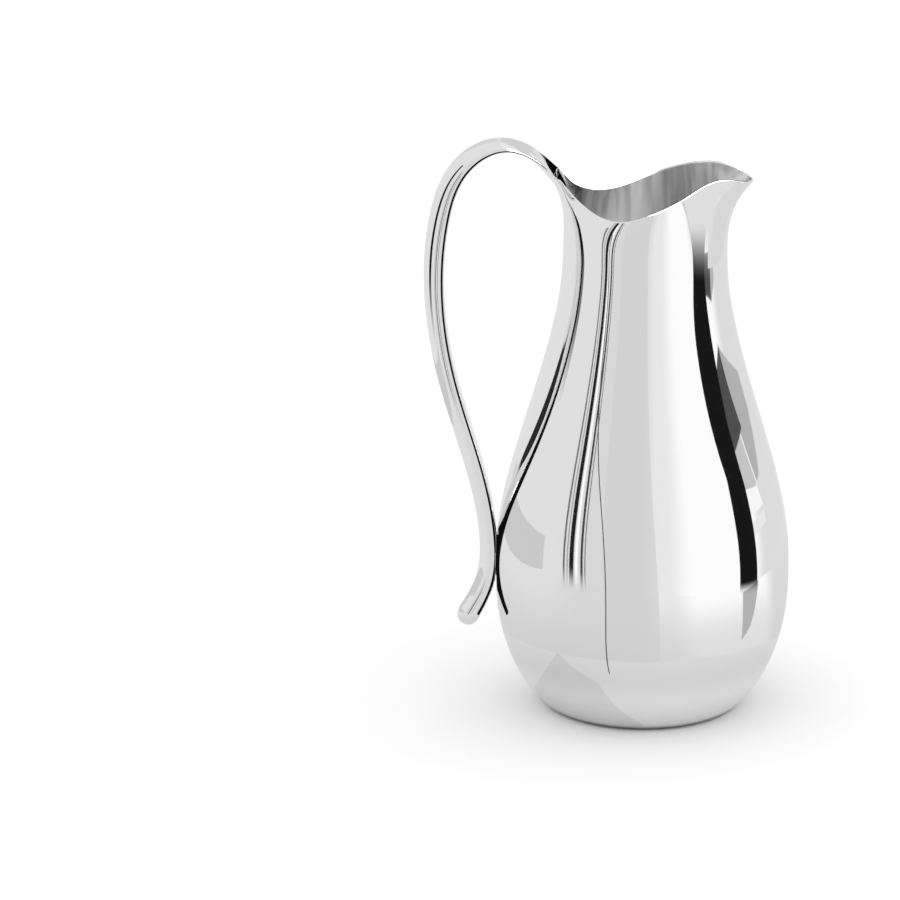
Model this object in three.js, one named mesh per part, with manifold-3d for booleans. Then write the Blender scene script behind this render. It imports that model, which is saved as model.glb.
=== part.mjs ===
// Water pitcher in polished silver-coloured metal: a pear-shaped body, an S-curved mouth with a pouring lip,
// and a strap handle that grows out of the back of the rim and touches the belly low down.
// Millimetres. +Z is up, the spout points along +X and the handle along -X. The origin is the
// centre of the base, on the surface that the pitcher stands on.

import * as THREE from 'three';
import { ParametricGeometry } from 'three/addons/geometries/ParametricGeometry.js';
import { mergeVertices } from 'three/addons/utils/BufferGeometryUtils.js';
import Module from 'manifold-3d';

// ---- driving dimensions ----

const WALL = 1.4; // sheet thickness of the body
const JOINT_GAP = 0.3; // clearance between neighbouring pieces
const WELD_WIDTH = 1.0; // width of a butt weld between two sheets

const FOOT_RADIUS = 36.0; // inner edge of the belly's flat foot, round the base disc
const BASE_RADIUS = 43.0; // where the body leaves the table
const BELLY_RADIUS = 71.2; // widest part of the body
const NECK_RADIUS = 39.3; // narrowest part of the body
const SEAM_HEIGHT = 212.0; // middle of the weld between belly and neck
const FLARE_START = 225.0; // height where the mouth begins to leave the round neck

// outside of the body from its foot to the neck: radius, height
const BODY_OUTLINE = [
  [FOOT_RADIUS, 0],
  [BASE_RADIUS, 0],
  [52.0, 5.5],
  [61.0, 19.0],
  [68.5, 40.0],
  [BELLY_RADIUS, 65.0],
  [70.0, 90.0],
  [58.0, 140.0],
  [44.0, 190.0],
  [40.0, 214.0],
  [NECK_RADIUS, 236.0],
];

// edge of the mouth on one side: angle round the neck from the spout, x, y, height, and how
// sharply the wall leaves the round neck (3 is even, more is later and sharper)
const LIP_SHARPNESS = 3.0;
const TONGUE_SHARPNESS = 4.2;
const RIM_OUTLINE = [
  [0, 51.0, 0.0, 261.0, LIP_SHARPNESS],
  [12, 46.0, 11.0, 263.0, LIP_SHARPNESS],
  [27, 36.0, 18.5, 265.3, LIP_SHARPNESS],
  [45, 26.0, 26.0, 264.0, LIP_SHARPNESS],
  [64, 16.5, 34.5, 260.0, LIP_SHARPNESS],
  [80, 7.0, 38.5, 256.0, LIP_SHARPNESS],
  [95, -3.4, 38.2, 252.0, LIP_SHARPNESS],
  [111, -13.0, 35.0, 249.5, LIP_SHARPNESS],
  [128, -22.5, 28.0, 250.0, LIP_SHARPNESS],
  [143, -29.5, 20.5, 253.0, 3.4],
  [154, -35.0, 15.0, 257.0, 4.0],
  [160, -38.7, 13.2, 261.0, TONGUE_SHARPNESS],
  [163, -41.3, 12.4, 263.4, TONGUE_SHARPNESS],
  [171, -43.2, 6.3, 261.1, TONGUE_SHARPNESS],
  [180, -43.9, 0.0, 260.3, TONGUE_SHARPNESS],
];

// inner edge of the strap handle from the tongue, over the top and down to the finger end: x, z
const HANDLE_PATH = [
  [-41.2, 263.3],
  [-45.0, 266.7],
  [-52.0, 272.5],
  [-67.0, 277.5],
  [-84.0, 267.5],
  [-93.0, 245.0],
  [-96.0, 210.0],
  [-90.0, 165.0],
  [-77.0, 120.0],
  [-70.5, 85.0],
  [-71.5, 62.0],
  [-83.0, 37.0],
];

// strap section along the path, from 0 at the tongue to 1 at the finger end:
// width, thickness of the edges, height of the dome on the outside, depth of the hollow
const STRAP_SECTIONS = [
  [0.0, 24.8, 1.3, 0.0, 4.0],
  [0.045, 24.4, 1.7, 0.4, 2.2],
  [0.1, 24.2, 2.1, 1.6, 0.3],
  [0.14, 23.8, 2.3, 3.9, 0.0],
  [0.2, 22.8, 2.8, 6.0, 0.0],
  [0.3, 20.0, 3.0, 7.0, 0.0],
  [0.42, 18.2, 3.0, 6.7, 0.0],
  [0.7, 16.0, 3.0, 6.0, 0.0],
  [0.85, 15.0, 3.0, 5.8, 0.0],
  [1.0, 14.0, 3.0, 7.5, 0.0],
];

const RIM_LEAN = 0.2; // how far the edge of the tongue can stand past its middle along the strap
const FOOT_WELD_HEIGHT = 75.0; // where the handle touches the belly
const FOOT_WELD_SIZE = [5.0, 11.0, 24.0]; // blob of weld metal before it is trimmed: x, y, z
const FOOT_WELD_WEB = 0.4; // weld metal left between handle and belly

// ---- fineness of the meshes ----

const BODY_SIDES = 48;
const BELLY_STEPS = 19;
const COLLAR_COLUMN = 7.5; // widest step round the collar, in degrees
const COLLAR_STEPS = 9;
const STRAP_SIDES = 14;
const STRAP_STEPS = 40;
const FINGER_STEPS = 5;
const BELLY_SOLID_STEPS = 36;
const WELD_SIDES = 20;
const WELD_RINGS = 12;
const HALVINGS = 40; // when a place on a curve is searched for
const MERGE_DISTANCE = 1e-3; // corners closer than this are one corner
const RISE_STEP = 1e-3; // steps that give the directions of the collar's sheet
const ANGLE_STEP = 0.1;

// corners of the rounded rim, in sheet thicknesses: depth from the outside, height over the edge
const RIM_CORNERS = [
  [0.15, 0.35],
  [0.5, 0.5],
  [0.85, 0.35],
];

// ---- looks ----

const POLISHED_COLOUR = 0xdcdedf;
const POLISHED_ROUGHNESS = 0.06;
const WELD_COLOUR = 0xd2d4d5;
const WELD_ROUGHNESS = 0.12;

// ---- curves ----

const bodyCurve = new THREE.SplineCurve(BODY_OUTLINE.map(([r, z]) => new THREE.Vector2(r, z)));
const handleCurve = new THREE.CatmullRomCurve3(HANDLE_PATH.map(([x, z]) => new THREE.Vector3(x, 0, z)));
const HANDLE_LENGTH = handleCurve.getLength();

// smooth values between stations, each a position followed by its values
function smoothValues(stations) {
  const positions = stations.map((station) => station[0]);
  const values = stations.flatMap((station) => station.slice(1));
  const between = new THREE.CubicInterpolant(positions, values, stations[0].length - 1);
  return (position) => Array.from(between.evaluate(position));
}

const strapSection = smoothValues(STRAP_SECTIONS);

// the rim on both sides, with one spare station past each end so that it runs on smoothly
const otherSide = ([angle, x, y, z, sharpness]) => [-angle, x, -y, z, sharpness];
const turned = (turn) => ([angle, ...rest]) => [angle + turn, ...rest];
const bothSides = [...RIM_OUTLINE.slice(1).reverse().map(otherSide), ...RIM_OUTLINE];
const rimStations = [turned(-360)(bothSides.at(-2)), ...bothSides, turned(360)(bothSides[1])];
const rimPoint = smoothValues(rimStations);

// ---- shared helpers ----

// points of the body outline between two heights, the height of the point on the curve being
// found by halving
function outlineAt(height) {
  let low = 0;
  let high = 1;
  for (let i = 0; i < HALVINGS; i += 1) {
    const middle = (low + high) / 2;
    if (bodyCurve.getPoint(middle).y < height) low = middle;
    else high = middle;
  }
  return low;
}

// the body sheet between two places on its outline, as a closed profile: up the outside, down
// the inside, and flat where it stands on the table
function sheetProfile(start, end, steps, offset = 0) {
  const outside = [];
  const inside = [];
  for (let i = 0; i <= steps; i += 1) {
    const t = THREE.MathUtils.lerp(start, end, i / steps);
    const point = bodyCurve.getPoint(t);
    const tangent = bodyCurve.getTangent(t);
    const outward = new THREE.Vector2(tangent.y, -tangent.x);
    const outer = point.clone().addScaledVector(outward, offset);
    const inner = point.clone().addScaledVector(outward, -WALL);
    outside.push(outer.setY(Math.max(outer.y, -offset)));
    inside.unshift(inner.setY(Math.max(inner.y, WALL)));
  }
  return [...outside, ...inside, outside[0].clone()];
}

// a closed mesh: shared corners merged and flat triangles dropped
function closed(geometry) {
  geometry.deleteAttribute('normal');
  geometry.deleteAttribute('uv');
  const merged = mergeVertices(geometry, MERGE_DISTANCE);
  const corners = merged.index.array;
  const kept = [];
  for (let i = 0; i < corners.length; i += 3) {
    const [a, b, c] = corners.slice(i, i + 3);
    if (a !== b && b !== c && c !== a) kept.push(a, b, c);
  }
  merged.setIndex(kept);
  return merged;
}

// a profile turned about the vertical axis
function turnedSolid(profile, sides = BODY_SIDES) {
  const lathe = new THREE.LatheGeometry(profile, sides);
  lathe.rotateX(Math.PI / 2);
  return closed(lathe);
}

function disc(radius, bottom, top) {
  const profile = [[0, bottom], [radius, bottom], [radius, top], [0, top]];
  return turnedSolid(profile.map(([r, z]) => new THREE.Vector2(r, z)));
}

function ring(inner, outer, bottom, top) {
  const profile = [[inner, bottom], [outer, bottom], [outer, top], [inner, top], [inner, bottom]];
  return turnedSolid(profile.map(([r, z]) => new THREE.Vector2(r, z)));
}

// ---- spout collar ----

// outside of the collar: angle round the neck in degrees, and 0 at the seam to 1 at the rim
function collarOutside(angle, rise) {
  const [rimX, rimY, rimZ, sharpness] = rimPoint(angle);
  const bottom = SEAM_HEIGHT + WELD_WIDTH / 2 + JOINT_GAP;
  const z = THREE.MathUtils.lerp(bottom, rimZ, rise);
  const top = BODY_OUTLINE.at(-1)[1];
  const radius = z < top ? bodyCurve.getPoint(outlineAt(z)).x : NECK_RADIUS;
  const flare = THREE.MathUtils.clamp((z - FLARE_START) / (rimZ - FLARE_START), 0, 1);
  const share = (3 - sharpness) * flare ** 2 + (sharpness - 2) * flare ** 3;
  const turn = THREE.MathUtils.degToRad(angle);
  return new THREE.Vector3(
    THREE.MathUtils.lerp(radius * Math.cos(turn), rimX, share),
    THREE.MathUtils.lerp(radius * Math.sin(turn), rimY, share),
    z,
  );
}

// the outward and upward directions of the collar's sheet
function collarDirections(angle, rise) {
  const near = Math.min(rise, 1 - RISE_STEP);
  const point = collarOutside(angle, near);
  const up = collarOutside(angle, near + RISE_STEP).sub(point).normalize();
  const round = collarOutside(angle + ANGLE_STEP, near).sub(collarOutside(angle - ANGLE_STEP, near));
  const outward = round.cross(up).normalize();
  return { up, outward };
}

function spoutCollar() {
  // the section goes up the outside, over the rounded rim and down the inside
  const rows = [];
  for (let i = 0; i <= COLLAR_STEPS; i += 1) rows.push({ rise: i / COLLAR_STEPS, depth: 0, over: 0 });
  for (const [depth, over] of RIM_CORNERS) rows.push({ rise: 1, depth: WALL * depth, over: WALL * over });
  for (let i = COLLAR_STEPS; i >= 0; i -= 1) rows.push({ rise: i / COLLAR_STEPS, depth: WALL, over: 0 });
  rows.push(rows[0]);
  // a column at every station of the rim, with more between them where they are far apart
  const angles = [-180];
  for (let i = 1; i < bothSides.length; i += 1) {
    const [from, to] = [bothSides[i - 1][0], bothSides[i][0]];
    const parts = Math.ceil((to - from) / COLLAR_COLUMN);
    for (let k = 1; k <= parts; k += 1) angles.push(THREE.MathUtils.lerp(from, to, k / parts));
  }
  angles[angles.length - 1] = angles[0];
  const place = (u, v, target) => {
    const angle = angles[Math.round(u * (angles.length - 1))];
    const row = rows[Math.round(v * (rows.length - 1))];
    const { up, outward } = collarDirections(angle, row.rise);
    target.copy(collarOutside(angle, row.rise));
    target.addScaledVector(outward, -row.depth).addScaledVector(up, row.over);
  };
  return closed(new ParametricGeometry(place, angles.length - 1, rows.length - 1));
}

// ---- strap handle ----

// a point of the strap: distance along the path from 0 to 1, angle round the section, and how
// much of the section is left (1 is all of it, 0 its middle)
function strapPoint(along, angle, size, grow) {
  const [width, edge, dome, hollow] = strapSection(along);
  const c = Math.cos(angle);
  const s = Math.sin(angle);
  const inside = s < 0;
  const across = inside ? Math.sign(c) * Math.sqrt(Math.abs(c)) : c;
  const lift = inside ? -edge / 2 * Math.sqrt(-s) : (edge / 2 + dome) * s;
  const middle = edge / 2 - hollow + dome / 2;
  const level = edge / 2 + lift - hollow * (1 - across ** 2) + grow * Math.sign(s) * Math.abs(s) ** 0.5;
  const place = handleCurve.getPointAt(along);
  const tangent = handleCurve.getTangentAt(along);
  const outward = new THREE.Vector3(tangent.z, 0, -tangent.x);
  place.addScaledVector(outward, THREE.MathUtils.lerp(middle, level, size));
  place.y = (width / 2 + grow) * across * size;
  return place;
}

// the strap between two distances from the tongue, with flat ends or a rounded finger end
function strap(start, end, steps, rounded, grow = 0) {
  const from = start / HANDLE_LENGTH;
  const to = end / HANDLE_LENGTH;
  const rows = [{ along: from, size: 0 }];
  const fingerRadius = STRAP_SECTIONS.at(-1)[1] / 2;
  const straightEnd = rounded ? to - fingerRadius / HANDLE_LENGTH : to;
  for (let i = 0; i <= steps; i += 1) {
    rows.push({ along: THREE.MathUtils.lerp(from, straightEnd, i / steps), size: 1 });
  }
  for (let i = 1; rounded && i < FINGER_STEPS; i += 1) {
    const turn = i / FINGER_STEPS * Math.PI / 2;
    rows.push({ along: THREE.MathUtils.lerp(straightEnd, to, Math.sin(turn)), size: Math.cos(turn) });
  }
  rows.push({ along: to, size: 0 });
  const place = (u, v, target) => {
    const row = rows[Math.round(v * (rows.length - 1))];
    target.copy(strapPoint(row.along, -(u % 1) * Math.PI * 2, row.size, grow));
  };
  return closed(new ParametricGeometry(place, STRAP_SIDES, rows.length - 1));
}

// ---- weld at the foot of the handle ----

const wasm = await Module();
wasm.setup();

function toManifold(geometry) {
  return new wasm.Manifold(new wasm.Mesh({
    numProp: 3,
    vertProperties: new Float32Array(geometry.attributes.position.array),
    triVerts: new Uint32Array(geometry.index.array),
  }));
}

function fromManifold(manifold) {
  const mesh = manifold.getMesh();
  const geometry = new THREE.BufferGeometry();
  geometry.setAttribute('position', new THREE.BufferAttribute(mesh.vertProperties, 3));
  geometry.setIndex(new THREE.BufferAttribute(mesh.triVerts, 1));
  return geometry;
}

// the space inside the belly's outside, grown by an offset
function bellySolid(offset) {
  const outside = sheetProfile(0, 1, BELLY_SOLID_STEPS, offset).slice(0, BELLY_SOLID_STEPS + 1);
  const axis = (point) => new THREE.Vector2(0, point.y);
  return toManifold(turnedSolid([axis(outside[0]), ...outside, axis(outside.at(-1))]));
}

// the strap from the root weld to the finger end, ground away where it would meet the belly
function handleSolid(grow, clearance) {
  const whole = toManifold(strap(HANDLE_START, HANDLE_LENGTH, STRAP_STEPS, true, grow));
  return whole.subtract(bellySolid(clearance));
}

// a blob between handle and belly, trimmed to clear both
function footWeld() {
  const blob = new THREE.SphereGeometry(1 / 2, WELD_SIDES, WELD_RINGS);
  blob.scale(...FOOT_WELD_SIZE);
  blob.translate(-BELLY_RADIUS - JOINT_GAP, 0, FOOT_WELD_HEIGHT);
  const clearOfBelly = toManifold(closed(blob)).subtract(bellySolid(JOINT_GAP));
  return clearOfBelly.subtract(handleSolid(JOINT_GAP, JOINT_GAP + FOOT_WELD_WEB));
}

// ---- the pitcher ----

const SHEET_END = WALL / 2; // the tongue's rounded edge stands this far past its last section
const ROOT_WELD_START = SHEET_END + RIM_LEAN + JOINT_GAP;
const HANDLE_START = ROOT_WELD_START + WELD_WIDTH + JOINT_GAP;
const BASE_DISC_RADIUS = FOOT_RADIUS - WELD_WIDTH - 2 * JOINT_GAP;

function metal(color, roughness) {
  return new THREE.MeshStandardMaterial({ color, roughness, metalness: 1 });
}

const polished = () => metal(POLISHED_COLOUR, POLISHED_ROUGHNESS);
const weldMetal = () => metal(WELD_COLOUR, WELD_ROUGHNESS);

const pitcher = new THREE.Group();

function add(name, geometry, material) {
  const mesh = new THREE.Mesh(geometry, material);
  mesh.name = name;
  pitcher.add(mesh);
}

const halfSeam = WELD_WIDTH / 2;
const bellyTop = outlineAt(SEAM_HEIGHT - halfSeam - JOINT_GAP);
const seamBottom = outlineAt(SEAM_HEIGHT - halfSeam);
const seamTop = outlineAt(SEAM_HEIGHT + halfSeam);

add('base_disc', disc(BASE_DISC_RADIUS, 0, WALL), polished());
add('base_weld', ring(BASE_DISC_RADIUS + JOINT_GAP, FOOT_RADIUS - JOINT_GAP, 0, WALL), weldMetal());
add('belly_shell', turnedSolid(sheetProfile(0, bellyTop, BELLY_STEPS)), polished());
add('girth_weld', turnedSolid(sheetProfile(seamBottom, seamTop, 1)), weldMetal());
add('spout_collar', spoutCollar(), polished());
add('handle_root_weld', strap(ROOT_WELD_START, ROOT_WELD_START + WELD_WIDTH, 1, false), weldMetal());
add('handle', fromManifold(handleSolid(0, 2 * JOINT_GAP + FOOT_WELD_WEB)), polished());
add('handle_foot_weld', fromManifold(footWeld()), weldMetal());

export default pitcher;
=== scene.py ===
"""Looks of a polished water pitcher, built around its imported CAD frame.

The CAD pieces are faceted, and a mirror shows every facet, so each one is replaced by a fine smooth
mesh. Its curves run through the same points, and between them it stays within a millimetre of the CAD.
The spout points along +X, the handle along -X, and the origin is the centre of the base. Sizes of the
pitcher, the cards and the rods are in millimetres, and become metres where their meshes are made. Those
of the materials, the floor, the table top and the camera are in metres.
"""

import math

import bpy
import numpy as np
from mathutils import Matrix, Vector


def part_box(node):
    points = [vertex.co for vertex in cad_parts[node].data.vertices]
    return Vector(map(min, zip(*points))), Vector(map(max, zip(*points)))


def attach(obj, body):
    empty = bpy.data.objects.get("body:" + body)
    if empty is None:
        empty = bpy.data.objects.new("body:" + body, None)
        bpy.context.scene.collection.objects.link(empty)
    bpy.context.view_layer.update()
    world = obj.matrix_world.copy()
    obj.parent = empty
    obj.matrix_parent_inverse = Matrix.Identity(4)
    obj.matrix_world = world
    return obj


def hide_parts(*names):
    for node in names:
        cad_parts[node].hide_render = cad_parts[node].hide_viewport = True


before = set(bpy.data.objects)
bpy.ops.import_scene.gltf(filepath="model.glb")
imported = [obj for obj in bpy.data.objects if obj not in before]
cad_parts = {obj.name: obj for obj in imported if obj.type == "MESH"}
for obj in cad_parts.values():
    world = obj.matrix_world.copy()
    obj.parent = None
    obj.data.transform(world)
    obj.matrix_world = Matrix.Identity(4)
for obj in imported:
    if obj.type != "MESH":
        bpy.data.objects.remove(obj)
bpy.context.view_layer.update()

# ---- driving dimensions, in millimetres ----

MM = 0.001
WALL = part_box("base_disc")[1].z / MM  # sheet thickness
SEAM = (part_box("girth_weld")[0].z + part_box("girth_weld")[1].z) / 2 / MM  # weld between belly and neck
HALF_WELD = (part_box("girth_weld")[1].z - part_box("girth_weld")[0].z) / 2 / MM
DISC_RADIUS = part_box("base_disc")[1].x / MM
FOOT_RADIUS = DISC_RADIUS + 1.6  # inner edge of the flat foot, past the weld round the base disc
NECK_RADIUS = 39.3
FLARE_START = 225.0  # height where the mouth leaves the round neck

# outside of the body from the edge of its foot to the neck: radius, height
BODY_OUTLINE = [
    (43.0, 0.0),
    (52.0, 5.5),
    (61.0, 19.0),
    (68.5, 40.0),
    (71.2, 65.0),
    (70.0, 90.0),
    (58.0, 140.0),
    (44.0, 190.0),
    (40.0, 214.0),
    (NECK_RADIUS, 236.0),
]

# edge of the mouth on one side: angle round the neck from the spout, x, y, height, and how sharply the
# wall leaves the round neck (3 is even, more is later and sharper)
LIP_SHARPNESS = 3.0
TONGUE_SHARPNESS = 4.2
RIM_OUTLINE = [
    (0, 51.0, 0.0, 261.0, LIP_SHARPNESS),
    (12, 46.0, 11.0, 263.0, LIP_SHARPNESS),
    (27, 36.0, 18.5, 265.3, LIP_SHARPNESS),
    (45, 26.0, 26.0, 264.0, LIP_SHARPNESS),
    (64, 16.5, 34.5, 260.0, LIP_SHARPNESS),
    (80, 7.0, 38.5, 256.0, LIP_SHARPNESS),
    (95, -3.4, 38.2, 252.0, LIP_SHARPNESS),
    (111, -13.0, 35.0, 249.5, LIP_SHARPNESS),
    (128, -22.5, 28.0, 250.0, LIP_SHARPNESS),
    (143, -29.5, 20.5, 253.0, 3.4),
    (154, -35.0, 15.0, 257.0, 4.0),
    (160, -38.7, 13.2, 261.0, TONGUE_SHARPNESS),
    (163, -41.3, 12.4, 263.4, TONGUE_SHARPNESS),
    (171, -43.2, 6.3, 261.1, TONGUE_SHARPNESS),
    (180, -43.9, 0.0, 260.3, TONGUE_SHARPNESS),
]

# inner edge of the strap handle from the tongue, over the top and down to the finger end: x, z
HANDLE_PATH = [
    (-41.2, 263.3),
    (-45.0, 266.7),
    (-52.0, 272.5),
    (-67.0, 277.5),
    (-84.0, 267.5),
    (-93.0, 245.0),
    (-96.0, 210.0),
    (-90.0, 165.0),
    (-77.0, 120.0),
    (-70.5, 85.0),
    (-71.5, 62.0),
    (-83.0, 37.0),
]

# strap section along the path: place, width, thickness of the edges, dome outside, hollow
STRAP_SECTIONS = [
    (0.0, 24.8, 1.3, 0.0, 4.0),
    (0.045, 24.4, 1.7, 0.4, 2.2),
    (0.1, 24.2, 2.1, 1.6, 0.3),
    (0.14, 23.8, 2.3, 3.9, 0.0),
    (0.2, 22.8, 2.8, 6.0, 0.0),
    (0.3, 20.0, 3.0, 7.0, 0.0),
    (0.42, 18.2, 3.0, 6.7, 0.0),
    (0.7, 16.0, 3.0, 6.0, 0.0),
    (0.85, 15.0, 3.0, 5.8, 0.0),
    (1.0, 14.0, 3.0, 7.5, 0.0),
]

# ---- fineness of the meshes ----

BODY_SIDES = 240
BELLY_ROWS = 110
COLLAR_ROWS = 70
RIM_ROWS = 8
STRAP_SIDES = 72
STRAP_ROWS = 300
FINGER_ROWS = 16
FOOT_SIDES = 48
FOOT_ROWS = 14
FLAT_ROWS = 7
SEAM_ROWS = 4
BEAD_ROWS = 6
HALVINGS = 40  # when a place on the body outline is searched for
PLACE_STEP = 0.05  # steps that give the directions of a curve and of the collar's sheet
ANGLE_STEP = 0.2
RISE_STEP = 0.002

# ---- fits ----

ROOT_JOINT = 1.3  # distance from the tongue's edge at which the strap starts
ROOT_SWELL = 0.12  # how far the skin stands out at the tongue's edge, over ROOT_BLEND
ROOT_BLEND = 5.0
ROOT_OVERLAP = 0.3  # how far the weld bead of the root reaches back over the tongue's edge
FOOT_GAP = 0.5  # least distance between the strap and the belly, filled by weld
FOOT_WELD_REACH = 0.25  # how far that weld reaches into the belly and into the strap
AXIS_HOLE = 0.05  # radius where the base disc's section stops short of the axis


# ---- curves ----


def spline(places, values, start=None):
    """A curve with smooth curvature through values at places, as a function of place. start is its
    slope at the first place; where none is given, an end runs out straight."""
    x = np.asarray(places, float)
    y = np.asarray(values, float)
    step = np.diff(x)
    slope = np.diff(y, axis=0) / step[:, None]
    count = len(x)
    system = np.eye(count)
    right = np.zeros_like(y)
    for i in range(1, count - 1):
        system[i, i - 1 : i + 2] = step[i - 1], 2 * (step[i - 1] + step[i]), step[i]
        right[i] = 6 * (slope[i] - slope[i - 1])
    if start is not None:
        system[0, :2] = 2 * step[0], step[0]
        right[0] = 6 * (slope[0] - np.asarray(start, float))
    bend = np.linalg.solve(system, right)

    def at(place):
        place = np.asarray(place, float)
        i = np.clip(np.searchsorted(x, place) - 1, 0, count - 2)
        ahead = (x[i + 1] - place)[..., None]
        behind = (place - x[i])[..., None]
        h = step[i][..., None]
        cubic = (bend[i] * ahead**3 + bend[i + 1] * behind**3) / (6 * h)
        return cubic + (y[i] / h - bend[i] * h / 6) * ahead + (y[i + 1] / h - bend[i + 1] * h / 6) * behind

    return at


def chord_lengths(points):
    return np.concatenate([[0], np.cumsum(np.linalg.norm(np.diff(points, axis=0), axis=1))])


body_points = np.array(BODY_OUTLINE)
body_places = chord_lengths(body_points)
body_outline = spline(body_places, body_points, start=(1, 0))


def place_at(height):
    """Place on the body outline that is at a height, found by halving."""
    low = np.zeros_like(np.asarray(height, float))
    high = np.full_like(low, body_places[-1])
    for _ in range(HALVINGS):
        middle = (low + high) / 2
        under = body_outline(middle)[..., 1] < height
        low = np.where(under, middle, low)
        high = np.where(under, high, middle)
    return low


def round_rim():
    """The rim's stations all the way round, and one turn more on each side so that it closes smoothly."""
    one_side = np.array(RIM_OUTLINE)
    other = one_side[1:-1][::-1] * (-1, 1, -1, 1, 1) + (360, 0, 0, 0, 0)
    turn = np.concatenate([one_side, other])
    return np.concatenate([turn + (shift, 0, 0, 0, 0) for shift in (-360, 0, 360)])


rim_stations = round_rim()
rim_curve = spline(rim_stations[:, 0], rim_stations[:, 1:])

handle_points = np.array(HANDLE_PATH)
handle_places = chord_lengths(handle_points)
handle_curve = spline(handle_places, handle_points)
HANDLE_LENGTH = handle_places[-1]
strap_stations = np.array(STRAP_SECTIONS)
strap_section = spline(strap_stations[:, 0] * HANDLE_LENGTH, strap_stations[:, 1:])


# ---- surfaces: points in millimetres from two parameters ----


def turned(radius, height, angle):
    """Points at a radius and a height, turned round the axis."""
    turn = np.radians(angle)
    return np.stack([radius * np.cos(turn), radius * np.sin(turn), height + 0 * turn], -1)


def collar_outside(angle, rise):
    """Outside of the collar: rise is 0 at the seam and 1 at the rim."""
    rim = rim_curve(np.mod(angle + 180, 360) - 180)
    rim_x, rim_y, rim_z, sharpness = (rim[..., i] for i in range(4))
    bottom = SEAM + HALF_WELD
    height = bottom + (rim_z - bottom) * rise
    neck_top = BODY_OUTLINE[-1][1]
    neck = body_outline(place_at(np.minimum(height, neck_top)))[..., 0]
    flare = np.clip((height - FLARE_START) / (rim_z - FLARE_START), 0, 1)
    share = (3 - sharpness) * flare**2 + (sharpness - 2) * flare**3
    turn = np.radians(angle)
    x = neck * np.cos(turn) * (1 - share) + rim_x * share
    y = neck * np.sin(turn) * (1 - share) + rim_y * share
    return np.stack([x, y, height], -1)


def directions(surface, a, b, step_a, step_b):
    """Unit vectors along b, and out of the surface, at each point of a surface."""
    along_a = surface(a + step_a, b) - surface(a - step_a, b)
    along_b = surface(a, b + step_b) - surface(a, b - step_b)
    out = np.cross(along_a, along_b)
    return unit(along_b), unit(out)


def unit(vectors):
    return vectors / np.linalg.norm(vectors, axis=-1, keepdims=True)


def strap_point(along, angle, size=1.0):
    """A point of the strap: millimetres from the tongue, angle round the section, and how much of the
    section is left (1 is all of it, 0 its middle)."""
    width, edge, dome, hollow = (strap_section(np.maximum(along, 0))[..., i] for i in range(4))
    swell = ROOT_SWELL * np.clip(1 - along / ROOT_BLEND, 0, 1)
    width = width + 2 * swell
    c = np.cos(angle)
    s = np.sin(angle)
    inside = s < 0
    across = np.where(inside, np.sign(c) * np.sqrt(np.abs(c)), c)
    lift = np.where(inside, -(edge / 2 + swell) * np.sqrt(np.abs(s)), (edge / 2 + dome + swell) * s)
    middle = edge / 2 - hollow + dome / 2
    level = edge / 2 + lift - hollow * (1 - across**2)
    centre = handle_curve(along)
    ahead = unit(handle_curve(along + PLACE_STEP) - handle_curve(along - PLACE_STEP))
    push = middle + (level - middle) * size
    x = centre[..., 0] + ahead[..., 1] * push
    z = centre[..., 1] - ahead[..., 0] * push
    return np.stack([x, width / 2 * across * size, z], -1)


# ---- meshes ----


def placed(name, data):
    """An object in the scene, from its mesh, curve or camera."""
    thing = bpy.data.objects.new(name, data)
    bpy.context.scene.collection.objects.link(thing)
    return thing


def mesh_piece(name, points, normals, faces, materials, face_materials, node):
    """A smooth piece in metres that stands for a CAD node."""
    mesh = bpy.data.meshes.new(name)
    mesh.from_pydata((points * MM).tolist(), [], [list(face) for face in faces])
    for material in materials:
        mesh.materials.append(material)
    mesh.polygons.foreach_set("material_index", face_materials.astype(np.int32))
    mesh.polygons.foreach_set("use_smooth", np.ones(len(faces), bool))
    mesh.update()
    if normals is not None:
        mesh.normals_split_custom_set_from_vertices(normals.tolist())
    piece = placed(name, mesh)
    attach(piece, "root")
    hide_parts(node)
    return piece


def plain_piece(name, points, faces, material, node):
    """A smooth piece of one material, shaded by its own faces."""
    return mesh_piece(name, points, None, faces, [material], np.zeros(len(faces), int), node)


def grid_faces(rows, columns, close_rows=True):
    """Quads of a grid whose columns close on themselves, and its rows too if close_rows."""
    last = rows if close_rows else rows - 1
    i, j = np.meshgrid(np.arange(last), np.arange(columns), indexing="ij")
    up = (i + 1) % rows
    right = (j + 1) % columns
    corners = [i * columns + j, i * columns + right, up * columns + right, up * columns + j]
    return np.stack(corners, -1).reshape(-1, 4)


def ring_piece(name, points, normals, inside_rows, materials, node):
    """A piece whose section closes on itself all the way round. Its points are rows of the section by
    columns round the axis, and inside_rows are the rows from which the second material is used."""
    rows, columns = points.shape[:2]
    faces = grid_faces(rows, columns)
    row_of_face = np.repeat(np.arange(rows), columns)
    inner = (row_of_face >= inside_rows[0]) & (row_of_face < inside_rows[1])
    return mesh_piece(
        name,
        points.reshape(-1, 3),
        None if normals is None else normals.reshape(-1, 3),
        faces,
        materials,
        inner.astype(int),
        node,
    )


ROUND = np.arange(BODY_SIDES) * 360 / BODY_SIDES


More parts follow.
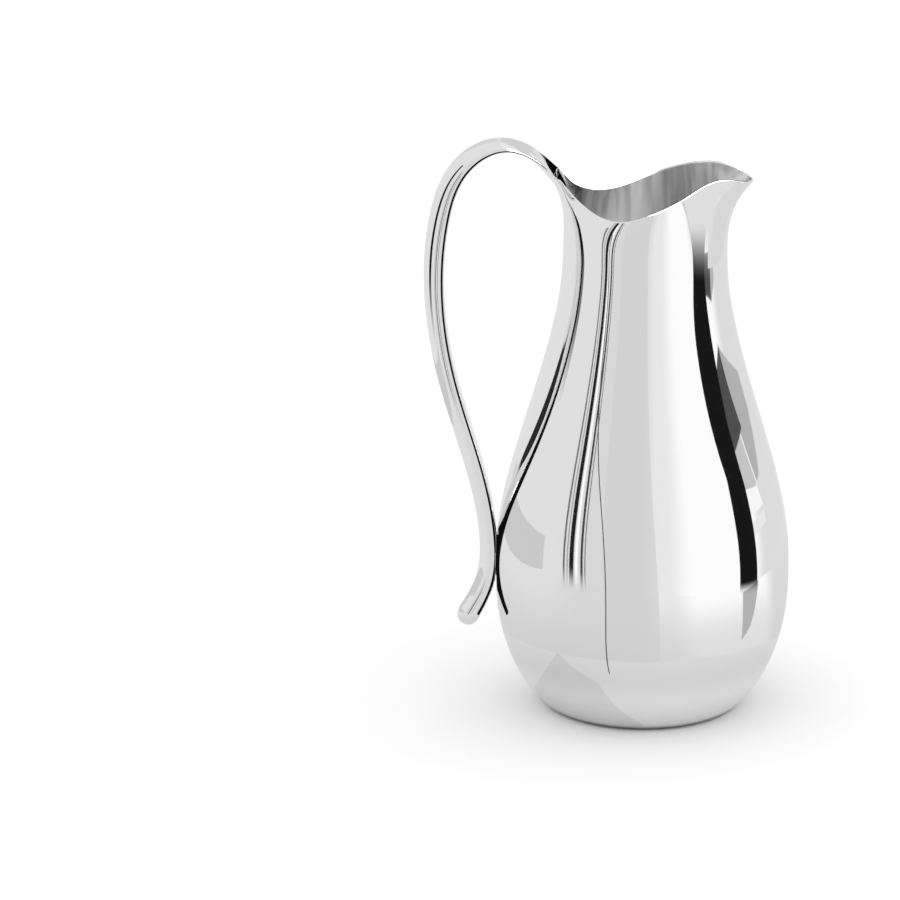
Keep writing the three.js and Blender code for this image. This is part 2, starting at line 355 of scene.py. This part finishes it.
def belly_section(first, last, rows, foot):
    """Rows of the body sheet between two places on its outline: out along the flat foot if foot is
    true, up the outside and back down the inside. Gives radius, height and the 2-D normal."""
    places = np.linspace(first, last, rows)
    point = body_outline(places)
    behind = np.maximum(places - PLACE_STEP, 0)
    tangent = unit(body_outline(places + PLACE_STEP) - body_outline(behind))
    out = np.stack([tangent[:, 1], -tangent[:, 0]], -1)
    inner = point - WALL * out
    outside, outside_normal = point, out
    inside, inside_normal = inner[::-1], -out[::-1]
    if foot:
        radii = np.linspace(FOOT_RADIUS, BODY_OUTLINE[0][0], FLAT_ROWS + 1)[:-1]
        flat = np.stack([radii, np.zeros(FLAT_ROWS)], -1)
        down = np.tile([0.0, -1.0], (FLAT_ROWS, 1))
        outside = np.concatenate([flat, outside])
        outside_normal = np.concatenate([down, outside_normal])
        inside = np.concatenate([inside, flat[::-1] + (0, WALL)])
        inside_normal = np.concatenate([inside_normal, -down])
    return outside, outside_normal, inside, inside_normal


def turned_rows(section, section_normals):
    """A section and its normals, turned round the axis."""
    points = turned(section[:, None, 0], section[:, None, 1], ROUND[None, :])
    normals = turned(section_normals[:, None, 0], section_normals[:, None, 1], ROUND[None, :])
    return points, normals


def turned_piece(name, first, last, rows, foot, materials, node):
    """The body sheet between two places on its outline."""
    outside, outside_normal, inside, inside_normal = belly_section(first, last, rows, foot)
    points, normals = turned_rows(
        np.concatenate([outside, inside]), np.concatenate([outside_normal, inside_normal])
    )
    inside_rows = (len(outside), len(outside) + len(inside) - 1)
    return ring_piece(name, points, normals, inside_rows, materials, node)


def spout_collar(materials):
    """The collar: up the outside, over the rounded rim and down the inside."""
    angle, rise = np.meshgrid(ROUND - 180, np.linspace(0, 1, COLLAR_ROWS))
    points = collar_outside(angle, rise)
    inside_ends = np.clip(rise, RISE_STEP, 1 - RISE_STEP)
    up, out = directions(collar_outside, angle, inside_ends, ANGLE_STEP, RISE_STEP)
    inner = points - WALL * out
    over = np.linspace(0, math.pi, RIM_ROWS + 2)[1:-1]
    middle = points[-1] - WALL / 2 * out[-1]
    rim_normal = np.stack([math.cos(t) * out[-1] + math.sin(t) * up[-1] for t in over])
    rim = middle + WALL / 2 * rim_normal
    rows = np.concatenate([points, rim, inner[::-1]])
    normals = np.concatenate([out, rim_normal, -out[::-1]])
    inside_rows = (len(points) + RIM_ROWS - 1, len(rows) - 1)
    return ring_piece(
        "spout_collar_skin", rows, normals, inside_rows, materials, "spout_collar"
    )


def strap_piece(start, end, rows, finger):
    """The strap between two distances from the tongue, closed at both ends, the far one round if
    finger is true."""
    angle = np.arange(STRAP_SIDES) * 2 * math.pi / STRAP_SIDES
    straight_end = end - 0.5 * STRAP_SECTIONS[-1][1] if finger else end
    along = list(np.linspace(start, straight_end, rows))
    size = [1.0] * rows
    if finger:
        turn = np.linspace(0, math.pi / 2, FINGER_ROWS)[1:-1]
        along += list(straight_end + (end - straight_end) * np.sin(turn))
        size += list(np.cos(turn))
    along = np.array(along)[:, None] + 0 * angle
    size = np.array(size)[:, None]
    points = strap_point(along, -angle[None, :], size)
    count, sides = points.shape[:2]
    first = strap_point(np.array([start]), np.array([0.0]), 0.0)
    last = strap_point(np.array([end]), np.array([0.0]), 0.0)
    faces = grid_faces(count, sides, close_rows=False).tolist()
    # flat ends have corners of their own, so that the skin's shading runs straight to the edge
    head_ring = count * sides
    head = head_ring + sides
    tail = head + 1
    tail_ring = (count - 1) * sides if finger else tail + 1
    faces += [[head, head_ring + (j + 1) % sides, head_ring + j] for j in range(sides)]
    faces += [[tail, tail_ring + j, tail_ring + (j + 1) % sides] for j in range(sides)]
    all_points = [points.reshape(-1, 3), points[0], first, last]
    if not finger:
        all_points.append(points[-1])
    return np.concatenate(all_points), faces


# ---- materials ----


class Tree:
    """Short calls for building a node tree."""

    def __init__(self, tree):
        self.tree = tree
        tree.nodes.clear()

    def node(self, kind, **settings):
        made = self.tree.nodes.new(kind)
        for key, value in settings.items():
            setattr(made, key, value)
        return made

    def link(self, source, target):
        self.tree.links.new(source, target)

    def feed(self, socket, value):
        if isinstance(value, bpy.types.NodeSocket):
            self.link(value, socket)
        else:
            socket.default_value = value

    def math(self, operation, *values):
        made = self.node("ShaderNodeMath", operation=operation)
        for socket, value in zip(made.inputs, values):
            self.feed(socket, value)
        return made.outputs[0]

    def ramp(self, value, low, high, to_low=0.0, to_high=1.0):
        """A smooth step of a value from low to high."""
        made = self.node("ShaderNodeMapRange", interpolation_type="SMOOTHSTEP")
        for name, number in (("From Min", low), ("From Max", high), ("To Min", to_low), ("To Max", to_high)):
            made.inputs[name].default_value = number
        self.feed(made.inputs["Value"], value)
        return made.outputs["Result"]

    def band(self, value, low, high, soft_low, soft_high):
        """1 between low and high and 0 outside, with soft edges."""
        rise = self.ramp(value, low - soft_low / 2, low + soft_low / 2)
        fall = self.ramp(value, high - soft_high / 2, high + soft_high / 2, 1.0, 0.0)
        return self.math("MULTIPLY", rise, fall)

    def noise(self, place, stretch, scale=5.0, detail=2.0):
        """Noise at a place, finer along each axis by its share of stretch."""
        mapping = self.node("ShaderNodeMapping")
        mapping.inputs["Scale"].default_value = stretch
        self.link(place, mapping.inputs["Vector"])
        made = self.node("ShaderNodeTexNoise")
        made.inputs["Scale"].default_value = scale
        made.inputs["Detail"].default_value = detail
        self.link(mapping.outputs["Vector"], made.inputs["Vector"])
        return made.outputs["Fac"]

    def bump(self, height, strength, distance):
        """A normal that is bent by a height."""
        made = self.node("ShaderNodeBump")
        self.feed(made.inputs["Strength"], strength)
        made.inputs["Distance"].default_value = distance
        self.link(height, made.inputs["Height"])
        return made.outputs["Normal"]

    def mix(self, share, a, b):
        """a where share is 0, b where it is 1."""
        made = self.node("ShaderNodeMix", data_type="FLOAT")
        self.feed(made.inputs[0], share)
        self.feed(made.inputs[2], a)
        self.feed(made.inputs[3], b)
        return made.outputs[0]


SILVER = (0.93, 0.93, 0.935)
POLISHED_ROUGHNESS = 0.035
SATIN_ROUGHNESS = 0.5


def new_material(name):
    """An empty node material, with short calls for its tree and the socket of its surface."""
    material = bpy.data.materials.new(name)
    material.use_nodes = True
    t = Tree(material.node_tree)
    return material, t, t.node("ShaderNodeOutputMaterial").inputs["Surface"]


def silver(name):
    """Bare silver-coloured metal, with the place on the object that its marks are laid by."""
    material, t, surface = new_material(name)
    shader = t.node("ShaderNodeBsdfPrincipled")
    shader.inputs["Base Color"].default_value = (*SILVER, 1)
    shader.inputs["Metallic"].default_value = 1.0
    t.link(shader.outputs["BSDF"], surface)
    place = t.node("ShaderNodeTexCoord").outputs["Object"]
    return material, t, shader, place


def polished_metal(name):
    """Mirror-polished metal: slightly wavy from hand buffing, with faint hairlines."""
    material, t, shader, place = silver(name)
    waves = t.noise(place, (1.0, 1.0, 1.0), scale=22.0, detail=1.0)
    hairlines = t.noise(place, (40.0, 40.0, 1800.0))
    least, most = POLISHED_ROUGHNESS * 0.7, POLISHED_ROUGHNESS * 1.6
    t.link(t.ramp(hairlines, 0.35, 0.75, least, most), shader.inputs["Roughness"])
    t.link(t.bump(waves, 1.0, 0.00004), shader.inputs["Normal"])
    return material


def satin_metal(name):
    """The brushed inside: fine lines round the axis, in upright bands where the buff pressed more or less
    and with painted reflection, so that its highlights run up and down. Its colour also holds painted shade,
    darker on the handle's side."""
    material, t, shader, place = silver(name)
    axes = t.node("ShaderNodeSeparateXYZ")
    t.link(place, axes.inputs[0])
    x, _, z = axes.outputs
    lines = t.noise(place, (30.0, 30.0, 1500.0), detail=4.0)
    bands = t.noise(place, (34.0, 34.0, 4.0), detail=1.5)

    # colour, with painted shade: darker on the handle's side than under the lip
    # upright bands of tone: partly where the buff pressed more or less, partly painted reflection
    buffing_and_painted_reflection_bands = t.ramp(bands, 0.40, 0.60, 0.72, 1.0)
    worn = t.ramp(lines, 0.3, 0.7, 0.9, 1.0)
    # painted shade, darker towards the handle
    painted_shade_handle_side = t.ramp(x, -0.02, 0.035, 0.78, 1.0)
    tone = t.math("MULTIPLY", t.math("MULTIPLY", t.math("MULTIPLY", buffing_and_painted_reflection_bands, worn), painted_shade_handle_side), SILVER[0])
    t.link(tone, shader.inputs["Base Color"])

    # polished on the tongue, where the handle starts, and a little smoother up to the rim
    brushed = t.ramp(x, -0.0315, -0.0285, 0.0, 1.0)
    upper = t.ramp(z, 0.243, 0.262, 1.0, 0.9)
    rough = t.ramp(lines, 0.3, 0.7, SATIN_ROUGHNESS * 0.75, SATIN_ROUGHNESS * 1.3)
    rough = t.math("MULTIPLY", t.math("MULTIPLY", rough, brushed), upper)
    t.link(t.math("ADD", 0.03, rough), shader.inputs["Roughness"])
    shader.inputs["Anisotropic"].default_value = 0.9
    shader.inputs["Anisotropic Rotation"].default_value = 0.25
    round_axis = t.node("ShaderNodeTangent", direction_type="RADIAL", axis="Z")
    t.link(round_axis.outputs[0], shader.inputs["Tangent"])
    t.link(t.bump(lines, t.math("MULTIPLY", brushed, 0.2), 0.0002), shader.inputs["Normal"])
    return material


def grey(tone):
    """Light of a tone between 0 for black and 255 for white."""
    share = tone / 255
    return share / 12.92 if share < 0.04 else ((share + 0.055) / 1.055) ** 2.4


# ---- studio ----

ROOM_LIGHT = 1.15  # light on the floor
MIRRORED = 0.93  # share of the light that the metal gives back

# Tones of the room that the metal mirrors, by azimuth in degrees: 0 is along -Y, in front of the pitcher,
# and 90 along +X. They stay where they are when the camera moves. The first is the tone behind the
# pitcher on its left, then comes each smooth change of it as from, to and by how much.
ROOM_TONE = 222
ROOM_STEPS = [(-80, -40, -8), (-4, 12, 17), (18, 38, 21), (96, 112, -34), (150, 175, 12)]
# patches of the far room: left, right, bottom and top in degrees, softness, tone
ROOM_PATCHES = [
    (112, 158, 13, 62, 4.0, 40),
    (161, 179, 0, 24, 6.0, 205),
    (-179, -160, 0, 24, 6.0, 208),
]
# rings of the mirrored table top, painted light and shade round the pitcher's foot: where each fades out,
# from and to in metres from the axis, then its share of the tone inside, and that tone. The third is a
# painted lighter ring near the foot, the last a ring of painted shade at the foot
TABLE_RINGS = [
    (0.14, 0.32, 0.7, 214),
    (0.117, 0.119, 1.0, 222),
    (0.06, 0.09, 1.0, 244),
    (0.044, 0.05, 0.8, 80),
]
TABLE_RADIUS = 0.40
TABLE_SHIFT = -0.07  # the table top's middle, towards the handle
FLOOR_RADIUS = 12.0
FLOOR_HEIGHT = -0.00005  # just under the base, so that the two don't share a plane
FLOOR_TONE = (0.93, 0.93, 0.93)


def tone_by_azimuth(t, azimuth):
    """Light of the room in one direction round the pitcher."""
    light = ROOM_TONE
    for low, high, change in ROOM_STEPS:
        light = t.math("ADD", light, t.ramp(azimuth, low, high, 0.0, change))
    return t.math("POWER", t.math("DIVIDE", light, 255.0), 2.2)


def studio_light():
    """A plain white room that lights the floor, and the tones that the metal mirrors of it."""
    world = bpy.data.worlds.new("studio")
    bpy.context.scene.world = world
    world.use_nodes = True
    t = Tree(world.node_tree)
    out = t.node("ShaderNodeOutputWorld")
    axes = t.node("ShaderNodeSeparateXYZ")
    t.link(t.node("ShaderNodeTexCoord").outputs["Generated"], axes.inputs[0])
    x, y, z = axes.outputs
    degree = math.degrees(1)
    azimuth = t.math("MULTIPLY", t.math("ARCTAN2", x, t.math("MULTIPLY", y, -1.0)), degree)
    height = t.math("MULTIPLY", t.math("ARCSINE", z), degree)
    light = tone_by_azimuth(t, azimuth)
    for left, right, bottom, top, soft, tone in ROOM_PATCHES:
        wide = t.band(azimuth, left, right, soft, soft)
        tall = t.band(height, bottom, top, soft, soft)
        light = t.mix(t.math("MULTIPLY", wide, tall), light, grey(tone))
    mirrored = t.node("ShaderNodeBackground")
    t.link(light, mirrored.inputs["Color"])
    mirrored.inputs["Strength"].default_value = 1 / MIRRORED
    room = t.node("ShaderNodeBackground")
    room.inputs["Color"].default_value = (1, 1, 1, 1)
    room.inputs["Strength"].default_value = ROOM_LIGHT
    choice = t.node("ShaderNodeMixShader")
    t.link(t.node("ShaderNodeLightPath").outputs["Is Glossy Ray"], choice.inputs[0])
    t.link(room.outputs[0], choice.inputs[1])
    t.link(mirrored.outputs[0], choice.inputs[2])
    t.link(choice.outputs[0], out.inputs["Surface"])


def mirrored_only(thing):
    """A stage object that shows only in the metal."""
    thing.visible_camera = False
    thing.visible_diffuse = False
    thing.visible_shadow = False


def glowing(name, tone, strength, soft=(), cover=1.0):
    """An even light. Each soft edge is an axis and the two places, in millimetres, between which it
    comes up from clear to cover."""
    material, t, surface = new_material(name)
    glow = t.node("ShaderNodeEmission")
    glow.inputs["Strength"].default_value = strength
    glow.inputs["Color"].default_value = (grey(tone),) * 3 + (1,)
    axes = t.node("ShaderNodeSeparateXYZ")
    t.link(t.node("ShaderNodeTexCoord").outputs["Object"], axes.inputs[0])
    for axis, clear, full in soft:
        low, high = min(clear, full), max(clear, full)
        edge = t.ramp(axes.outputs[axis], low * MM, high * MM, float(clear > full), float(full > clear))
        cover = t.math("MULTIPLY", cover, edge)
    if soft or cover < 1:
        blend = t.node("ShaderNodeMixShader")
        t.feed(blend.inputs[0], cover)
        t.link(t.node("ShaderNodeBsdfTransparent").outputs[0], blend.inputs[1])
        t.link(glow.outputs[0], blend.inputs[2])
        t.link(blend.outputs[0], surface)
    else:
        t.link(glow.outputs[0], surface)
    return material


def card(name, corners, tone, soft=(), cover=1.0, strength=1.0):
    """A flat card in the studio, seen only in the metal. Its corners are in millimetres."""
    mesh = bpy.data.meshes.new(name)
    mesh.from_pydata([tuple(c * MM for c in corner) for corner in corners], [], [list(range(len(corners)))])
    mesh.materials.append(glowing(name, tone, strength / MIRRORED, soft, cover))
    mirrored_only(placed(name, mesh))


def across_x(x, outline):
    """Corners of a card that stands across the X axis, from y and z."""
    return [(x, y, z) for y, z in outline]


def lying(height, outline):
    """Corners of a card that lies level, from x and y."""
    return [(x, y, height) for x, y in outline]


def oblong(low, high):
    """Corners of an oblong from two opposite ones."""
    return [low, (high[0], low[1]), high, (low[0], high[1])]


def rod(name, points, radius, tone):
    """A thin bent rod in the studio, seen only in the metal."""
    curve = bpy.data.curves.new(name, "CURVE")
    curve.dimensions = "3D"
    curve.bevel_depth = radius * MM
    curve.resolution_u = 12
    line = curve.splines.new("BEZIER")
    line.bezier_points.add(len(points) - 1)
    for knot, point in zip(line.bezier_points, points):
        knot.co = [c * MM for c in point]
        knot.handle_left_type = knot.handle_right_type = "AUTO"
    curve.materials.append(glowing(name, tone, 1.0))
    mirrored_only(placed(name, curve))


def right_side_cards():
    """What stands to the right of the pitcher: a stack of boards and windows, and pale cards close to
    the neck."""
    # a black panel, wider and leaning away at its top
    black = [(-80, 20), (-85, 150), (-120, 210), (-120, 250), (-20, 250), (-35, 170), (-25, 130), (-20, 20)]
    card("black_card", across_x(200, black), 22, soft=[(2, 23, 38)])
    # boards and windows that show past its front edge
    dark_grey = [(-40, 155), (25, 155), (0, 190), (-40, 190)]
    card("dark_grey_card", across_x(201, dark_grey), 78)
    frame_window = [(-30, 105), (35, 100), (25, 118), (-30, 128)]
    card("window_card", across_x(201.5, frame_window), 246)
    card("low_window_card", across_x(201.5, oblong((-30, 85), (35, 97))), 232)
    card("bright_edge", across_x(201.8, [(27, 118), (31, 118), (12, 155), (8, 155)]), 246)
    card("light_strip", across_x(202, [(-30, 120), (27, 120), (8, 155), (-30, 155)]), 196)
    light_grey = [(-40, 120), (50, 120), (110, 145), (110, 160), (0, 190), (-40, 190)]
    card("grey_card", across_x(203, light_grey), 176)
    # pale cards close to the neck, which end the black at its top and fill the side of the lip
    soft_edges = [(1, -60, -52), (1, -13, -20), (2, 212, 244)]
    card("fill_card", across_x(62, oblong((-60, 208), (-12, 290))), 222, soft=soft_edges)
    card("spout_fill", across_x(76, oblong((-22, 214), (34, 246))), 214)


def streak_cards():
    """Thin upright cards on the left, which the neck gathers into one group of streaks."""
    far = 300
    foot, lean = 12, 5  # height of their lower end, and how far round in degrees it leans
    for name, azimuth, width, tone, top in (
        ("streak_card_a", -56.5, 3.4, 30, 330),
        ("streak_card_b", -62.5, 1.6, 110, 300),
        ("streak_card_c", -48.5, 1.8, 60, 290),
        ("streak_card_d", -52.5, 1.8, 254, 290),
        ("streak_card_e", -59.8, 0.9, 150, 320),
        ("streak_card_f", -46.0, 0.8, 110, 300),
    ):
        corners = []
        for middle, z in ((azimuth + lean, foot), (azimuth, top)):
            sides = [math.radians(middle + turn * width / 2) for turn in (-1, 1)]
            corners += [(far * math.sin(side), -far * math.cos(side), z) for side in sides]
        card(name, [corners[0], corners[1], corners[3], corners[2]], tone, soft=[(2, foot, 60)])


def front_and_left_cards():
    """What stands in front of the pitcher and to its left."""
    # a pale board close in front, its right edge slanting
    board = [(-45, -118, 0), (20, -118, 0), (-10, -118, 350), (-85, -118, 350)]
    card("front_board", board, 205, soft=[(2, 330, 200)], cover=0.6)
    card("left_panel", [(-200, 225, 34), (-293, -70, 34), (-293, -70, 88), (-200, 225, 88)], 200)
    rod("thin_rod", [(-51, -57, 246), (-52, -65, 185), (-40, -100, 90), (-32, -87, 5)], 0.5, 70)


def handle_cards():
    """What darkens the edges of the strap: a rod along it on the camera's side, a flag beside its upper
    half, and a card behind its root."""
    stations, rod_radius, clearance = 28, 2.0, 0.6
    places = np.linspace(0.03, 0.97, stations) * HANDLE_LENGTH
    inner_edge = handle_curve(places)
    half_width = strap_section(places)[:, 0] / 2
    points = np.stack([inner_edge[:, 0], -half_width - clearance - rod_radius, inner_edge[:, 1]], -1)
    rod("strap_edge_rod", points.tolist(), rod_radius, 14)
    card("handle_flag", across_x(-131, oblong((-15, 150), (-5, 300))), 25, soft=[(2, 160, 215)])
    card("root_card", [(-14, 60, 230), (45, 60, 230), (45, 60, 300), (-14, 60, 300)], 8)


def table_and_ceiling_cards():
    """What lies on the table and hangs over it."""
    # a grey sheet on the table to the right, painted shade at the black card's foot, and a faint shade in
    # front of the handle
    # the grey sheet is painted shade of the black card
    card("table_patch", lying(0.4, [(285, -80), (130, -52), (165, -35), (325, 10)]), 177)
    wedge = [(-100, -65), (-40, -75), (0, -50), (-40, -10), (-60, -5)]
    card("table_wedge", lying(0.3, wedge), 20, cover=0.12)
    # a bright ceiling that lights the inside
    ceiling = [(-20, -420), (420, -420), (420, 300), (-20, 300)]
    card("ceiling_card", lying(700, ceiling), 255, strength=4.8)


def floor_disc(name, radius, height, material, sides=96):
    """A level disc in metres, part of the stage."""
    angle = np.arange(sides) * 2 * math.pi / sides
    points = [(radius * math.cos(a), radius * math.sin(a), height) for a in angle]
    mesh = bpy.data.meshes.new(name)
    mesh.from_pydata(points, [], [list(range(sides))])
    mesh.materials.append(material)
    disc = placed(name, mesh)
    return disc


def floor_paint():
    material, t, surface = new_material("floor")
    shader = t.node("ShaderNodeBsdfDiffuse")
    shader.inputs["Color"].default_value = (*FLOOR_TONE, 1)
    t.link(shader.outputs[0], surface)
    return material


def table_paint():
    """Painted light and shade on the table top: tones by azimuth round the pitcher, a painted lighter ring
    near its foot, and a ring of shade at its foot.
    """
    material, t, surface = new_material("table_top")
    shader = t.node("ShaderNodeBsdfDiffuse")
    axes = t.node("ShaderNodeSeparateXYZ")
    t.link(t.node("ShaderNodeNewGeometry").outputs["Position"], axes.inputs[0])
    x, y, _ = axes.outputs
    azimuth = t.math("MULTIPLY", t.math("ARCTAN2", x, t.math("MULTIPLY", y, -1.0)), math.degrees(1))
    # the room's tones, painted on the table top as light
    light = tone_by_azimuth(t, azimuth)
    away = t.math("SQRT", t.math("ADD", t.math("MULTIPLY", x, x), t.math("MULTIPLY", y, y)))
    # painted light and shade in rings round the pitcher's foot
    for near, far, share, tone in TABLE_RINGS:
        light = t.mix(t.ramp(away, near, far, share, 0.0), light, grey(tone))
    t.link(t.math("MULTIPLY", light, 1 / MIRRORED / ROOM_LIGHT), shader.inputs["Color"])
    t.link(shader.outputs[0], surface)
    return material


def make_floor():
    """The plain floor that the camera sees, and the table top that the metal mirrors instead."""
    floor = floor_disc("floor", FLOOR_RADIUS, FLOOR_HEIGHT, floor_paint())
    floor.visible_glossy = False
    table = floor_disc("table_top", TABLE_RADIUS, 0.0, table_paint())
    table.location.x = TABLE_SHIFT
    mirrored_only(table)


def make_camera():
    """A long lens, looking down at the pitcher from in front, which stands right of the middle."""
    data = bpy.data.cameras.new("camera")
    data.lens = 220.0
    data.sensor_width = 36.0
    data.clip_start = 0.1
    data.clip_end = 50.0
    camera = placed("camera", data)
    camera.location = (-0.0933, -2.5416, 0.9043)
    camera.rotation_euler = (math.radians(73.0), 0, 0)
    bpy.context.scene.camera = camera


# ---- the pitcher ----


def belly_radius(height):
    """Radius of the belly's outside at a height."""
    return body_outline(place_at(np.clip(height, 0, SEAM)))[..., 0]


def clear_of_belly(points):
    """The strap's inner face is ground hollow where it would meet the belly."""
    points = points.copy()
    low = points[:, 2] < SEAM
    radius = np.hypot(points[:, 0], points[:, 1])
    wanted = belly_radius(points[:, 2]) + FOOT_GAP
    push = low & (radius < wanted)
    points[push, :2] *= (wanted / radius)[push, None]
    return points


def foot_weld(material):
    """A lens of weld metal between the strap and the belly: a patch of the belly's surface, thick in
    the middle and thin at its oval edge."""
    low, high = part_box("handle_foot_weld")
    middle = (low.z + high.z) / 2 / MM
    tall = (high.z - low.z) / 2 / MM
    wide = (high.y - low.y) / 2 / MM
    thick = FOOT_GAP / 2 + FOOT_WELD_REACH
    out_turn = np.linspace(0, 1, FOOT_ROWS)
    turn = np.arange(FOOT_SIDES) * 2 * math.pi / FOOT_SIDES
    rings = []
    for side in (1, -1):
        for share in out_turn[1:] if side > 0 else out_turn[1:-1][::-1]:
            y = wide * share * np.cos(turn)
            z = middle + tall * share * np.sin(turn)
            lift = FOOT_GAP / 2 + side * thick * math.sqrt(1 - share**2)
            radius = belly_radius(z) + lift
            rings.append(np.stack([-np.sqrt(radius**2 - y**2), y, z], -1))
    points = np.stack(rings)
    centre = belly_radius(np.array([middle]))[0] + FOOT_GAP / 2
    tips = np.array([(-centre - thick, 0, middle), (-centre + thick, 0, middle)])
    count = len(rings)
    faces = grid_faces(count, FOOT_SIDES, close_rows=False).tolist()
    head = count * FOOT_SIDES
    last = (count - 1) * FOOT_SIDES
    faces += [[head, (j + 1) % FOOT_SIDES, j] for j in range(FOOT_SIDES)]
    faces += [[head + 1, last + j, last + (j + 1) % FOOT_SIDES] for j in range(FOOT_SIDES)]
    points = np.concatenate([points.reshape(-1, 3), tips])
    plain_piece("handle_foot_weld_bead", points, faces, material, "handle_foot_weld")


def build():
    """Every piece of the pitcher."""
    mirror = polished_metal("polished_metal")
    inside = satin_metal("satin_inside")
    weld = polished_metal("weld_metal")

    low = float(place_at(SEAM - HALF_WELD))
    high = float(place_at(SEAM + HALF_WELD))
    body = [mirror, inside]
    turned_piece("belly_skin", 0.0, low, BELLY_ROWS, True, body, "belly_shell")
    seam = [weld, inside]
    turned_piece("girth_weld_bead", low, high, SEAM_ROWS, False, seam, "girth_weld")
    spout_collar(body)

    # base disc and its weld
    for name, r0, r1, node, slot, material in (
        ("base_plate", AXIS_HOLE, DISC_RADIUS, "base_disc", "polished_metal", inside),
        ("base_weld_bead", DISC_RADIUS, FOOT_RADIUS, "base_weld", "weld_metal", weld),
    ):
        section = np.array([(r0, 0.0), (r1, 0.0), (r1, WALL), (r0, WALL)])
        points = turned(section[:, None, 0], section[:, None, 1], ROUND[None, :])
        ring_piece(name, points, None, (0, 4), [material, material], node)

    # the weld bead that hides the handle's root, the strap from there to its finger end, and its foot
    bead, bead_faces = strap_piece(-ROOT_OVERLAP, ROOT_JOINT, BEAD_ROWS, False)
    plain_piece("handle_root_weld_bead", bead, bead_faces, weld, "handle_root_weld")
    strap, strap_faces = strap_piece(ROOT_JOINT, HANDLE_LENGTH, STRAP_ROWS, True)
    plain_piece("handle_strap", clear_of_belly(strap), strap_faces, mirror, "handle")
    foot_weld(weld)


build()
make_floor()
studio_light()
right_side_cards()
streak_cards()
front_and_left_cards()
handle_cards()
table_and_ceiling_cards()
make_camera()
bpy.context.scene.view_settings.view_transform = "Standard"
